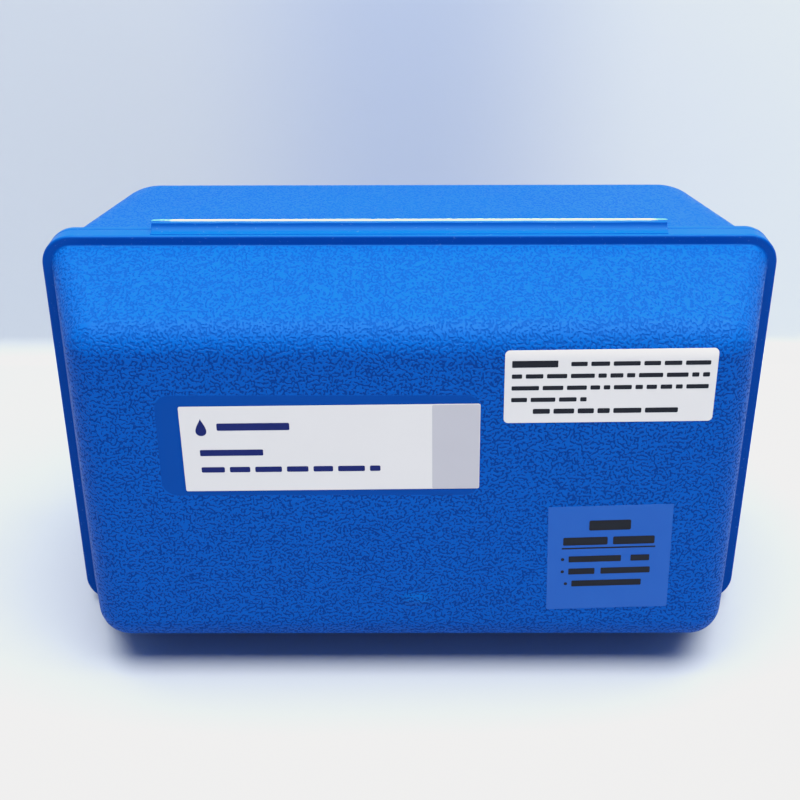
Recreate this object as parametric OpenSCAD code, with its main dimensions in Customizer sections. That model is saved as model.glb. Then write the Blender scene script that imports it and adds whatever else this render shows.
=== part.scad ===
// Water test kit: a hinged case with reagent bottles and a colour comparator.
// X is the case's width, Z is up with the case standing on its latch side, and Y runs from the
// lid at the front (-Y) to the base at the back (+Y). Modules draw with Y = 0 on the parting
// plane; place() then moves that plane so that the origin is the middle of the lid rim's foot.

/* [Case] */
// Outer width of the rim
case_w = 250; // [240:1:260]
// Outer height of the rim, case standing on its latch side
case_h = 150.3; // [149:0.1:156]
// Corner radius of the rim
rim_r = 10.5; // [9:0.5:13]
// How far the rim stands out from the shell walls
flange = 3.4; // [3:0.1:3.6]
// Wall thickness of both shells
wall = 2.2; // [1.8:0.1:2.4]
// Gap between the two halves at the parting line
parting_gap = 0.1; // [0.05:0.05:0.2]

/* [Lid] */
// Depth of the lid from the parting plane to its front face
lid_depth = 52.6; // [52:0.2:60]
// Thickness of the lid's rim along Y
lid_rim_t = 7; // [6:0.5:8]
// Draft of the lid's left and right walls, in degrees
lid_side_draft = 17; // [13:0.5:18]
// Draft of the lid's hinge-side wall, in degrees
lid_top_draft = 15; // [13:0.5:16]
// Draft of the lid's latch-side wall, in degrees
lid_foot_draft = 16; // [13:0.5:17]
// Rounding of the lid's front edges and corners
lid_round = 11.5; // [9:0.5:12]

/* [Base] */
// Depth of the base from the parting plane to its back face
base_depth = 72; // [72:0.5:80]
// Thickness of the base's rim along Y
base_rim_t = 2.8; // [2.4:0.2:3.2]
// Draft of the base's left and right walls, in degrees
base_side_draft = 3; // [2:0.5:3.5]
// Draft of the base's hinge-side and latch-side walls, in degrees
base_top_draft = 1; // [0.5:0.5:2]
// Corner radius of the base at its back face
base_corner = 22; // [21:1:26]
// Rounding of the base's back edges
base_round = 10.5; // [8:0.5:10.5]
// Height of the lip that locates the lid on the base
lip_h = 1.5; // [1:0.1:2]

/* [Hinge and latches] */
// Length of the living hinge
hinge_len = 175; // [160:1:180]
// Height of the hinge's fold above the rim
fold_h = 3; // [2.8:0.1:3.4]
// Radius of the folded web
fold_r = 0.5; // [0.4:0.05:0.6]
// Width of each latch tab
latch_w = 28; // [20:1:32]
// Distance of each latch tab from the middle of the case
latch_x = 62; // [50:1:70]
// Thickness of a latch tab
latch_t = 1.4; // [1.2:0.1:1.5]

/* [Bottles] */
// Radius of a bottle
bottle_r = 13.5; // [12.5:0.1:13.8]
// Height of a bottle with its cap
bottle_h = 67.5; // [66:0.5:68]
// Distance between neighbouring bottles
bottle_pitch = 38; // [34:1:40]
// Height of the bottle row above the standing edge of the case
bottle_z = 103; // [100:1:106]

/* [Comparator] */
// Width of the comparator
comp_w = 92; // [88:1:100]
// Thickness of the comparator
comp_t = 26; // [24:0.5:28]
// Height of the comparator without its stoppers
comp_h = 60; // [58:1:62]
// Height of its middle above the standing edge of the case
comp_z = 46; // [44:1:48]

/* [Tray] */
// Distance of the tray's deck from the parting plane
deck_y = 38; // [36:1:40]
// Wall thickness of the tray
tray_t = 1.2; // [1:0.1:1.5]

/* [Labels] */
// Thickness of the labels on the lid
label_t = 0.15; // [0.1:0.05:0.3]
// Width of the main label
main_label_w = 96.6; // [80:0.2:100]
// Height of the main label
main_label_h = 31.3; // [25:0.1:34]
// Width of the notice label
notice_label_w = 66.7; // [60:0.1:70]
// Height of the notice label
notice_label_h = 25.4; // [20:0.1:27]
// Width and height of the clear label
clear_label_w = 41.6; // [35:0.2:45]

/* [Hidden] */

$fn = 64;
hull_fn = 32;      // facets of the rounds that the shell hulls are stretched over
fit = 0.05;        // clearance of a running or plug fit
slack = 0.3;       // clearance round a loose piece
eps = 0.01;        // overlap of one cutter with the next
cut = 1;           // how far a cutter runs past a face

mid_z = case_h / 2;
wall_inset = flange + wall;            // inset of the cavity from the rim's outline
fold_z = case_h + fold_h;              // height of the hinge axis
shell_floor_y = base_depth - wall;     // inner face of the base's back

tray_floor = 1.3;
tray_clear = 0.2;
item_gap = 0.1;
item_y = shell_floor_y - tray_clear - tray_floor - item_gap;  // where bottles and comparator stand

blue = [0.08, 0.38, 0.85];
cap_colours = ["gold", "firebrick", "royalblue", "seagreen", "dimgray"];
reagent_colours = ["khaki", "crimson", "lightsteelblue", "mediumseagreen", "lavender"];

// ---- helpers ----

// Moves the parting plane back by half of the lid rim, so the origin is the middle of the rim's foot
module place() {
    translate([0, lid_rim_t / 2, 0]) children();
}

// Extrudes an outline drawn in X and Z from y0 to y1
module in_depth(y0, y1) {
    translate([0, y1, 0]) rotate([90, 0, 0]) linear_extrude(y1 - y0) children();
}

// Box from its lowest to its highest corner
module block(low, high) {
    translate(low) cube(high - low);
}

// Rounded rectangle, centred, with true arcs
module round_rect(w, h, r) {
    square([w - 2 * r, h], center = true);
    square([w, h - 2 * r], center = true);
    for (sx = [-1, 1], sz = [-1, 1])
        translate([sx * (w / 2 - r), sz * (h / 2 - r)]) circle(r);
}

// A slice of the case's outline, inset all round, from y0 to y1
module case_slice(inset, y0, y1) {
    translate([0, 0, mid_z])
        in_depth(y0, y1) round_rect(case_w - 2 * inset, case_h - 2 * inset, rim_r - inset);
}

// Puts a child at each of the four corners, inset from the rim's outline
module at_corners(inset_x, inset_foot, inset_top, y) {
    for (sx = [-1, 1], z = [inset_foot, case_h - inset_top])
        translate([sx * (case_w / 2 - inset_x), y, z]) children();
}

// Solid of revolution about a line along Y that starts at a point and rises towards -Y
module upright(x, y, z) {
    translate([x, y, z]) rotate([90, 0, 0]) children();
}

// ---- case ----

// The lid's drafted body with its rounded front, thinned by t
module lid_form(t) {
    round_y = -lid_depth + lid_round;
    function round_inset(draft) =
        flange + (-lid_rim_t - round_y) * tan(draft) + lid_round / cos(draft);
    hull() {
        at_corners(round_inset(lid_side_draft), round_inset(lid_foot_draft),
                   round_inset(lid_top_draft), round_y)
            sphere(lid_round - t, $fn = hull_fn);
        at_corners(rim_r, rim_r, rim_r, 0)
            in_depth(-lid_rim_t, -lid_rim_t + 0.2) circle(rim_r - flange - t, $fn = hull_fn);
    }
}

// Two L-shaped clips inside the lid that hold the booklet by its edges
module booklet_clips() {
    clip_w = 12;
    clip_t = 1.6;
    reach = 4;
    inner_y = -lid_depth + wall;
    for (sx = [-1, 1], x = [-45, 45]) {
        z = mid_z + sx * (booklet_h / 2 + slack);
        top_y = inner_y + booklet_t + 2 * slack + clip_t;
        block([x - clip_w / 2, inner_y - eps, min(z, z + sx * clip_t)],
              [x + clip_w / 2, top_y, max(z, z + sx * clip_t)]);
        block([x - clip_w / 2, top_y - clip_t, min(z + sx * clip_t, z - sx * reach)],
              [x + clip_w / 2, top_y, max(z + sx * clip_t, z - sx * reach)]);
    }
}

// Room in the lid's rim for a latch tab and the round root it bends about
module latch_seat(x) {
    half = latch_w / 2 + slack;
    block([x - half, latch_root_y, -cut], [x + half, cut, latch_t + item_gap]);
    translate([x - half, latch_root_y, latch_t / 2]) rotate([0, 90, 0])
        cylinder(r = latch_t / 2 + fit, h = 2 * half);
}

latch_root_y = -5.6;   // where a latch tab bends, inside the lid's rim
latch_nose_y = 5.2;    // tip of the tab, behind the base's rim
latch_nose_h = 2.2;    // height of the nose at the tip

module lid_shell() {
    color(blue) difference() {
        union() {
            difference() {
                union() {
                    lid_form(0);
                    case_slice(0, -lid_rim_t, -parting_gap);
                }
                lid_form(wall);
                case_slice(wall_inset, -lid_rim_t - eps, cut);
            }
            booklet_clips();
        }
        for (sx = [-1, 1]) latch_seat(sx * latch_x);
    }
}

// The base's body with its growing corner radius and rounded back, thinned by t
module base_form(t) {
    round_y = base_depth - base_round;
    run = base_depth - base_rim_t;
    inset_x = flange + run * tan(base_side_draft) + base_corner;
    inset_z = flange + run * tan(base_top_draft) + base_corner;
    hull() {
        at_corners(inset_x, inset_z, inset_z, round_y) rotate([90, 0, 0])
            rotate_extrude($fn = hull_fn)
                translate([base_corner - base_round, 0])
                    circle(base_round - t, $fn = hull_fn);
        at_corners(rim_r, rim_r, rim_r, 0)
            in_depth(base_rim_t - 0.2, base_rim_t) circle(rim_r - flange - t, $fn = hull_fn);
    }
}

module base_shell() {
    lip_t = 1;
    lip_inset = wall_inset + 0.15;
    color(blue) difference() {
        union() {
            base_form(0);
            case_slice(0, 0, base_rim_t);
            case_slice(lip_inset, -lip_h, base_rim_t);
        }
        difference() {
            base_form(wall);
            case_slice(0, -cut, base_rim_t - 0.2 + eps);
        }
        case_slice(lip_inset + lip_t, -lip_h - cut, base_rim_t);
        for (sx = [-1, 1])
            block([sx * latch_x - latch_w / 2 - slack, -cut, -cut],
                  [sx * latch_x + latch_w / 2 + slack, base_rim_t + cut,
                   latch_nose_h + item_gap]);
    }
}

// Half of the hinge, a ridge along the rim's top with a hollowed outer side.
// side is -1 for the lid and 1 for the base.
module hinge_leaf(side, near, far, foot_h, hollow_r, web_clear) {
    top_z = fold_z - fit;
    difference() {
        block([-hinge_len / 2, min(side * near, side * far), case_h],
              [hinge_len / 2, max(side * near, side * far), top_z]);
        translate([-hinge_len, side * far, case_h + foot_h + hollow_r]) rotate([0, 90, 0])
            cylinder(r = hollow_r, h = 2 * hinge_len);
        translate([-hinge_len, 0, fold_z]) rotate([0, 90, 0])
            cylinder(r = fold_r + web_clear, h = 2 * hinge_len);
    }
}

module lid_hinge_leaf() {
    color(blue) hinge_leaf(-1, parting_gap, 5.6, 0.6, 4.2, fit);
}

module base_hinge_leaf() {
    color(blue) hinge_leaf(1, 0, base_rim_t, 0.5, 1.6, 0);
}

module hinge_crease() {
    color("lightcyan") translate([-hinge_len / 2, 0, fold_z]) rotate([0, 90, 0])
        cylinder(r = fold_r, h = hinge_len);
}

// Tongue flush with the foot of the rims, with a round root in the lid and a nose behind the base's rim
module latch_tab(x) {
    nose_from = base_rim_t + item_gap;
    color(blue) {
        block([x - latch_w / 2, latch_root_y, 0], [x + latch_w / 2, latch_nose_y, latch_t]);
        block([x - latch_w / 2, nose_from, 0], [x + latch_w / 2, latch_nose_y, latch_nose_h]);
        translate([x - latch_w / 2, latch_root_y, latch_t / 2]) rotate([0, 90, 0])
            cylinder(r = latch_t / 2, h = latch_w);
    }
}

// ---- labels on the lid ----

// A flat label on the lid's front face; x and z are its middle from the middle of the face
module lid_label(x, z, turn, w, h, r) {
    translate([x, 0, mid_z + z]) in_depth(-lid_depth - label_t, -lid_depth)
        rotate(turn) round_rect(w, h, r);
}

module main_label() {
    color("white") lid_label(-25.6, 18.9, 0.61, main_label_w, main_label_h, 0.6);
}

module notice_label() {
    color("white") lid_label(63.3, 41.2, 0.67, notice_label_w, notice_label_h, 1.5);
}

module clear_label() {
    color([0.35, 0.5, 0.8, 0.6])
        lid_label(67.6, -23.9, 1.9, clear_label_w, clear_label_w, 0.4);
}

// ---- tray ----

module insert_tray() {
    deck_w = 234;
    deck_h = 134;
    deck_r = 16;
    skirt_w = 225;
    skirt_h = 127;
    skirt_r = 20;
    skirt_y = 65.5;
    pocket_end = shell_floor_y - tray_clear;
    pocket_r = bottle_r + 0.7;
    pocket_w = comp_w + 1.2;
    pocket_t = comp_t + 1.2;
    color("whitesmoke") difference() {
        union() {
            translate([0, 0, mid_z]) in_depth(deck_y, deck_y + tray_t)
                round_rect(deck_w, deck_h, deck_r);
            translate([0, 0, mid_z]) in_depth(deck_y, skirt_y) difference() {
                round_rect(skirt_w, skirt_h, skirt_r);
                round_rect(skirt_w - 2 * tray_t, skirt_h - 2 * tray_t, skirt_r - tray_t);
            }
            for (i = [0:4]) upright(bottle_x(i), pocket_end, bottle_z)
                cylinder(r = pocket_r + tray_t, h = pocket_end - deck_y);
            translate([0, 0, comp_z]) in_depth(deck_y, pocket_end)
                round_rect(pocket_w + 2 * tray_t, pocket_t + 2 * tray_t, 3);
        }
        for (i = [0:4]) upright(bottle_x(i), pocket_end - tray_floor, bottle_z)
            cylinder(r = pocket_r, h = pocket_end);
        translate([0, 0, comp_z]) in_depth(deck_y - cut, pocket_end - tray_floor)
            round_rect(pocket_w, pocket_t, 3 - tray_t);
    }
}

// ---- booklet ----

booklet_w = 150;
booklet_h = 92;
booklet_t = 1.5;
booklet_y = -lid_depth + wall + slack;   // side of the booklet that faces the lid
cover_t = 0.25;

module booklet_pages() {
    color("white") block([-booklet_w / 2 + 2 * cover_t, booklet_y + cover_t, mid_z - booklet_h / 2 + 1],
                         [booklet_w / 2 - 1, booklet_y + booklet_t - cover_t, mid_z + booklet_h / 2 - 1]);
}

module booklet_cover() {
    color("lightblue") difference() {
        block([-booklet_w / 2, booklet_y, mid_z - booklet_h / 2],
              [booklet_w / 2, booklet_y + booklet_t, mid_z + booklet_h / 2]);
        block([-booklet_w / 2 + cover_t, booklet_y + cover_t, 0],
              [case_w, booklet_y + booklet_t - cover_t, case_h]);
    }
}

// ---- comparator ----

cell_x = 13;          // distance of each cell from the comparator's middle
cell_hole = 17;       // side of the square hole a cell sits in
cell_wall = 1.2;
cell_floor = 1.5;
cell_end = 4;         // material left under a cell
chip_x = 33;          // distance of each row of colour chips
chip_w = 12;
chip_h = 8;
chip_pitch = 10;
chip_count = 5;
chip_t = 1.2;
diffuser_t = 2;
comp_top = item_y - comp_h;
comp_front = comp_z - comp_t / 2;
comp_back = comp_z + comp_t / 2;

// Lowest edge of colour chip i along the comparator's height, as Y
function chip_y(i) = comp_top + 7 + i * chip_pitch;

// Clear block with a square hole for each cell; the colour chips lie on its front and the
// diffuser on its back
module comparator_body() {
    color([0.85, 0.92, 0.96, 0.5]) difference() {
        block([-comp_w / 2, comp_top, comp_front + chip_t + fit],
              [comp_w / 2, item_y, comp_back - diffuser_t - fit]);
        for (sx = [-1, 1]) translate([sx * cell_x, 0, comp_z])
            block([-cell_hole / 2, comp_top - cut, -cell_hole / 2],
                  [cell_hole / 2, item_y - cell_end, cell_hole / 2]);
    }
}

module comparator_diffuser() {
    color("white")
        block([-comp_w / 2, comp_top, comp_back - diffuser_t], [comp_w / 2, item_y, comp_back]);
}

// One row of tinted chips, five separate tiles on the front of the comparator
module standards(x) {
    for (i = [0:chip_count - 1])
        block([x - chip_w / 2, chip_y(i), comp_front],
              [x + chip_w / 2, chip_y(i) + chip_h, comp_front + chip_t]);
}

module yellow_standards() {
    color("gold") standards(-chip_x);
}

module red_standards() {
    color("tomato") standards(chip_x);
}

// Square test tube, open at the top
module test_cell(x) {
    out = cell_hole / 2 - fit;
    in = out - cell_wall;
    end_y = item_y - cell_end - fit;
    color([0.9, 0.96, 1, 0.35]) translate([x, 0, comp_z]) difference() {
        block([-out, comp_top, -out], [out, end_y, out]);
        block([-in, comp_top - cut, -in], [in, end_y - cell_floor, in]);
    }
}

// Stopper with a square plug and a round grip
module stopper(x) {
    plug = cell_hole / 2 - fit - cell_wall - fit;
    plug_h = 6;
    grip_h = 5;
    grip_r = 10;
    color("white") {
        translate([x, 0, comp_z])
            block([-plug, comp_top - 2 * fit, -plug], [plug, comp_top + plug_h, plug]);
        upright(x, comp_top - fit, comp_z) cylinder(r = grip_r, h = grip_h - 0.8);
        upright(x, comp_top - fit - grip_h + 0.8, comp_z)
            cylinder(r1 = grip_r, r2 = grip_r - 0.8, h = 0.8);
    }
}

// ---- bottles ----

neck_r = 6.2;
neck_bore = 4.6;
body_top = 42;        // height of the straight part of a bottle
neck_from = 49.5;
neck_top = 58;
label_from = 8;
label_to = 37;
fill_h = 38;          // height of the reagent

function bottle_x(i) = (i - 2) * bottle_pitch;

// A child drawn upright at bottle i
module at_bottle(i) {
    upright(bottle_x(i), item_y, bottle_z) children();
}

module bottle(i) {
    skin = 1;
    color("ivory") at_bottle(i) rotate_extrude() polygon([
        [0, 0], [bottle_r - 1.2, 0], [bottle_r, 1.2], [bottle_r, body_top],
        [bottle_r - 0.7, body_top + 2.4], [neck_r + 2.4, neck_from - 1], [neck_r, neck_from],
        [neck_r, neck_top], [neck_bore, neck_top], [neck_bore, neck_from - 1.4],
        [bottle_r - skin - 0.7, body_top + 1.6], [bottle_r - skin, body_top],
        [bottle_r - skin, 1.2 + skin], [bottle_r - skin - 1.2, skin], [0, skin]
    ]);
}

// Plug with a fine bore, a flange on the neck and a tapered nozzle
module dropper_tip(i) {
    color("white") at_bottle(i) rotate_extrude() polygon([
        [0.5, neck_top - 7], [neck_bore - fit, neck_top - 7], [neck_bore - fit, neck_top],
        [neck_r, neck_top], [neck_r, neck_top + 1.2], [3.2, neck_top + 1.2],
        [1.6, neck_top + 6.6], [0.5, neck_top + 6.6]
    ]);
}

// Screw cap: a straight bore over the neck, and room above it for the nozzle
module bottle_cap(i) {
    cap_r = 8.2;
    cap_from = neck_from + 1;
    bore = neck_r + fit;
    color(cap_colours[i]) at_bottle(i) rotate_extrude() polygon([
        [bore, cap_from], [cap_r, cap_from], [cap_r - 0.3, bottle_h - 0.8],
        [cap_r - 1.1, bottle_h], [0, bottle_h], [0, bottle_h - 1.8],
        [3.5, bottle_h - 1.8], [3.5, neck_top + 1.3], [bore, neck_top + 1.3]
    ]);
}

module bottle_label(i) {
    color("white") at_bottle(i) difference() {
        translate([0, 0, label_from]) cylinder(r = bottle_r + 0.15, h = label_to - label_from);
        cylinder(r = bottle_r, h = bottle_h);
    }
}

module reagent(i) {
    fill_r = bottle_r - 1 - fit;
    color(reagent_colours[i]) at_bottle(i) rotate_extrude() polygon([
        [0, 1 + fit], [fill_r - 1.2, 1 + fit], [fill_r, 2.2 + fit],
        [fill_r, fill_h], [0, fill_h]
    ]);
}

// ---- nodes ----

place() lid_shell();
place() base_shell();
place() lid_hinge_leaf();
place() base_hinge_leaf();
place() hinge_crease();
place() latch_tab(-latch_x);  // left_latch_tab
place() latch_tab(latch_x);  // right_latch_tab
place() main_label();
place() notice_label();
place() clear_label();
place() insert_tray();
place() booklet_cover();
place() booklet_pages();
place() comparator_body();
place() comparator_diffuser();
place() yellow_standards();
place() red_standards();
place() test_cell(-cell_x);  // sanitiser_cell
place() test_cell(cell_x);  // ph_cell
place() stopper(-cell_x);  // sanitiser_stopper
place() stopper(cell_x);  // ph_stopper
for (i = [0:4]) {
    place() bottle(i);
    place() dropper_tip(i);
    place() bottle_cap(i);
    place() bottle_label(i);
    place() reagent(i);
}
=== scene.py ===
"""Water test kit: a closed, leather-grained case standing on its latch side, with its contents inside.

Every length below is in millimetres, and Y is counted from the parting plane between lid and base,
as the design has it. put() turns such a point into metres in the frame.
"""

import math
import random

import bmesh
import bpy
from mathutils import Matrix, Vector, noise


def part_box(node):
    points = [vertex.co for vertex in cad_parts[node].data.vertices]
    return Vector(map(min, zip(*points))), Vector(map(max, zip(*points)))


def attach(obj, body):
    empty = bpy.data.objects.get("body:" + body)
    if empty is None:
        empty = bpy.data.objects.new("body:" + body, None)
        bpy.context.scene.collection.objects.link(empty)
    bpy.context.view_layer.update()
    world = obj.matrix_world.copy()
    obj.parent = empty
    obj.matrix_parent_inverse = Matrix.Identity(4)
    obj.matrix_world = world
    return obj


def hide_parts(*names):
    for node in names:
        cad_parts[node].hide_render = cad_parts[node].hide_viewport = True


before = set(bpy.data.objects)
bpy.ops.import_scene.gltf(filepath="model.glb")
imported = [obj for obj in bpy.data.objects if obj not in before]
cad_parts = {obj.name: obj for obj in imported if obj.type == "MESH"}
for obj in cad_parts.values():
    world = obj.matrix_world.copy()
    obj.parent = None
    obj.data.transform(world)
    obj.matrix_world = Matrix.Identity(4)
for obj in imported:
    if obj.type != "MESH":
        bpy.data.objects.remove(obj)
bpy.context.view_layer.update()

MM = 0.001
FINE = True

# ---- driving dimensions, from the frame ----
PARTING_GAP = 0.1
lid_low, lid_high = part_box("lid_shell")
_, base_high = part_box("base_shell")
PART_Y = lid_high.y / MM + PARTING_GAP
CASE_W = (lid_high.x - lid_low.x) / MM
CASE_H = (lid_high.z - lid_low.z) / MM
MID_Z = CASE_H / 2
LID_DEPTH = PART_Y - lid_low.y / MM
BASE_DEPTH = base_high.y / MM - PART_Y

# ---- details of the two mouldings ----

RIM_R = 10.5
FLANGE = 3.4
WALL = 2.2
MOUTH = FLANGE + WALL
LID_RIM_T = 7.0
LID_SIDE_DRAFT = math.radians(17)
LID_TOP_DRAFT = math.radians(15)
LID_FOOT_DRAFT = math.radians(16)
LID_ROUND = 11.5
BASE_RIM_T = 2.8
BASE_SIDE_DRAFT = math.radians(3)
BASE_TOP_DRAFT = math.radians(1)
BASE_CORNER = 22.0
BASE_ROUND = 10.5
LIP_H = 1.5
LIP_T = 1.0
LIP_GAP = 0.15
FACE_INSET = 45.0      # how far the flat faces are ringed before their middle is one polygon
SMALLEST_R = 2.0       # corner radius of those inner rings

# ---- mesh helpers ----


def put(x, y, z):
    """A point in millimetres from the parting plane, as metres in the frame."""
    return Vector((x * MM, (y + PART_Y) * MM, z * MM))


def span(node):
    """A node's lowest and highest corner in millimetres, with Y from the parting plane."""
    return [(p.x / MM, p.y / MM - PART_Y, p.z / MM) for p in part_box(node)]


def linked(name, data):
    """A new object in the scene."""
    thing = bpy.data.objects.new(name, data)
    bpy.context.scene.collection.objects.link(thing)
    return thing


def make(name, verts, faces, body, mats, face_mats=None, smooth=True):
    """A mesh piece that rides on a body; verts are points from put()."""
    mesh = bpy.data.meshes.new(name)
    mesh.from_pydata([tuple(v) for v in verts], [], faces)
    bm = bmesh.new()
    bm.from_mesh(mesh)
    if face_mats:
        for face, index in zip(bm.faces, face_mats):
            face.material_index = index
    bmesh.ops.recalc_face_normals(bm, faces=bm.faces)
    bm.to_mesh(mesh)
    bm.free()
    for m in mats:
        mesh.materials.append(m)
    piece = linked(name, mesh)
    if smooth:
        mesh.shade_smooth()
    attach(piece, body)
    return piece


def stands_for(node, slot):
    """Hides a node behind the piece that takes its place."""
    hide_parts(node)


def add_modifier(piece, kind, **settings):
    """A modifier with its settings."""
    modifier = piece.modifiers.new(kind.title(), kind)
    for key, value in settings.items():
        setattr(modifier, key, value)
    return modifier


def weigh_normals(piece):
    """Keeps flat faces flat-shaded next to small rounds."""
    add_modifier(piece, "WEIGHTED_NORMAL", keep_sharp=True, weight=80)


def soften(piece, width, segments=3):
    """Rounds every edge sharper than 30 degrees."""
    add_modifier(piece, "BEVEL", width=width * MM, segments=segments, limit_method="ANGLE",
                 angle_limit=math.radians(30), use_clamp_overlap=True)
    weigh_normals(piece)


def rounded_path(corners, steps):
    """A path through corners (a, b, radius), each rounded by an arc of the same number of steps."""
    out = [corners[0][:2]]
    for before, corner, after in zip(corners, corners[1:], corners[2:]):
        here = Vector(corner[:2])
        back = (Vector(before[:2]) - here).normalized()
        ahead = (Vector(after[:2]) - here).normalized()
        half = math.acos(max(-1.0, min(1.0, back.dot(ahead)))) / 2
        reach = corner[2] / math.tan(half)
        middle = here + (back + ahead).normalized() * corner[2] / math.sin(half)
        first, last = here + back * reach - middle, here + ahead * reach - middle
        turn = first.angle_signed(last)
        for k in range(steps + 1):
            spoke = first.copy()
            spoke.rotate(Matrix.Rotation(-turn * k / steps, 2))
            out.append(tuple(middle + spoke))
    out.append(corners[-1][:2])
    return out


def ring(half_x, z_top, z_foot, r, y, arc_steps, side_steps):
    """Points round a rounded rectangle, given the places of its corner centres."""
    corners = ((half_x, z_top, 0), (-half_x, z_top, 90), (-half_x, z_foot, 180), (half_x, z_foot, 270))
    arcs = []
    for x, z, start in corners:
        angles = [math.radians(start + 90 * k / arc_steps) for k in range(arc_steps + 1)]
        arcs.append([(x + r * math.cos(a), z + r * math.sin(a)) for a in angles])
    whole = []
    for own, following in zip(arcs, arcs[1:] + arcs[:1]):
        whole += own
        for k in range(1, side_steps):
            share = k / side_steps
            whole.append(tuple(p + (q - p) * share for p, q in zip(own[-1], following[0])))
    return [put(x, y, z) for x, z in whole]


def loft(rings):
    """Vertices and faces of a closed skin over rings of equal length, capped at both ends."""
    n = len(rings[0])
    verts = [v for r in rings for v in r]
    faces = [tuple(range(n))]
    for k in range(len(rings) - 1):
        for i in range(n):
            j = (i + 1) % n
            faces.append((k * n + i, k * n + j, (k + 1) * n + j, (k + 1) * n + i))
    faces.append(tuple(range((len(rings) - 1) * n, len(rings) * n)))
    return verts, faces


def between(y, y0, v0, y1, v1):
    """Straight interpolation, held at both ends."""
    t = max(0.0, min(1.0, (y - y0) / (y1 - y0)))
    return v0 + (v1 - v0) * t


def shell_rings(sides, tops, feet, centre_side, centre_top, arc_steps, side_steps):
    """Rings of a case half. The paths are (inset, y): side walls, hinge side and latch side."""
    rings = []
    for (inset_x, y_x), (inset_top, y_top), (inset_foot, y_foot) in zip(sides, tops, feet):
        y = (y_x + y_top + y_foot) / 3
        r = (centre_side(y) - inset_x + centre_top(y) - inset_top) / 2
        r = max(r, SMALLEST_R)
        rings.append(ring(CASE_W / 2 - inset_x - r, CASE_H - inset_top - r, inset_foot + r, r, y,
                          arc_steps, side_steps))
    return rings


def box_mesh(boxes):
    """Vertices and faces of separate boxes, given by their lowest and highest corners."""
    verts, faces = [], []
    for low, high in boxes:
        start = len(verts)
        verts += [put(x, y, z) for x in (low[0], high[0]) for y in (low[1], high[1])
                  for z in (low[2], high[2])]
        faces += [tuple(start + i for i in f) for f in
                  ((0, 1, 3, 2), (4, 6, 7, 5), (0, 4, 5, 1), (2, 3, 7, 6), (0, 2, 6, 4), (1, 5, 7, 3))]
    return verts, faces


def cut_boxes(piece, boxes, operation="DIFFERENCE"):
    """Takes boxes out of a piece, or joins them to it."""
    verts, faces = box_mesh(boxes)
    mesh = bpy.data.meshes.new("cutter")
    mesh.from_pydata([tuple(v) for v in verts], [], faces)
    cutter = linked("cutter", mesh)
    for m in piece.data.materials:
        mesh.materials.append(m)
    add_modifier(piece, "BOOLEAN", object=cutter, operation=operation, solver="EXACT")
    bake(piece)
    bpy.data.objects.remove(cutter)


def bake(piece):
    """Applies a piece's modifiers to its mesh."""
    graph = bpy.context.evaluated_depsgraph_get()
    graph.update()
    mesh = bpy.data.meshes.new_from_object(piece.evaluated_get(graph))
    piece.modifiers.clear()
    piece.data = mesh


def prism_x(outline, x0, x1, steps, wave=None):
    """A closed prism along X over an outline of (y, z) points. wave(x) lifts its top."""
    n = len(outline)
    verts, faces = [], [tuple(range(n))]
    low, top = min(z for _, z in outline), max(z for _, z in outline)
    for k in range(steps + 1):
        x = x0 + (x1 - x0) * k / steps
        lift = wave(x) if wave else 0.0
        verts += [put(x, y, z + lift * (z - low) / (top - low)) for y, z in outline]
    for k in range(steps):
        for i in range(n):
            j = (i + 1) % n
            faces.append((k * n + i, (k + 1) * n + i, (k + 1) * n + j, k * n + j))
    faces.append(tuple(range(steps * n, (steps + 1) * n)))
    return verts, faces


def rounded_copy(node, name, body, mats, width, slot, segments=3):
    """A new piece with a node's flat-sided shape and every edge rounded, as a moulded part has."""
    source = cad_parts[node].data
    piece = make(name, [v.co.copy() for v in source.vertices],
                 [tuple(p.vertices) for p in source.polygons], body, mats)
    bm = bmesh.new()
    bm.from_mesh(piece.data)
    bmesh.ops.remove_doubles(bm, verts=bm.verts, dist=1e-6)
    bmesh.ops.dissolve_limit(bm, angle_limit=math.radians(1), verts=bm.verts, edges=bm.edges)
    bmesh.ops.recalc_face_normals(bm, faces=bm.faces)
    bm.to_mesh(piece.data)
    bm.free()
    piece.data.shade_smooth()
    soften(piece, width, segments)
    stands_for(node, slot)
    return piece


def turned(profile, foot, steps, rib=None, closed=False):
    """A solid of revolution about a line along -Y from foot (x, y, z).

    The profile is (radius, height) points, from the axis back to the axis, or a closed loop.
    rib(angle, radius, height) is taken off the radius.
    """
    verts, faces, rows = [], [], []
    for r, h in profile:
        if r < 1e-6:
            rows.append([len(verts)] * steps)
            verts.append(put(foot[0], foot[1] - h, foot[2]))
            continue
        rows.append(list(range(len(verts), len(verts) + steps)))
        for i in range(steps):
            a = 2 * math.pi * i / steps
            reach = r - (rib(a, r, h) if rib else 0.0)
            verts.append(put(foot[0] + reach * math.cos(a), foot[1] - h,
                             foot[2] + reach * math.sin(a)))
    pairs = list(zip(rows, rows[1:] + rows[:1] if closed else rows[1:]))
    for low, high in pairs:
        for i in range(steps):
            j = (i + 1) % steps
            corners = [low[i], low[j], high[j], high[i]]
            face = tuple(dict.fromkeys(corners))
            if len(face) > 2:
                faces.append(face)
    return verts, faces


# ---- materials ----


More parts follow.
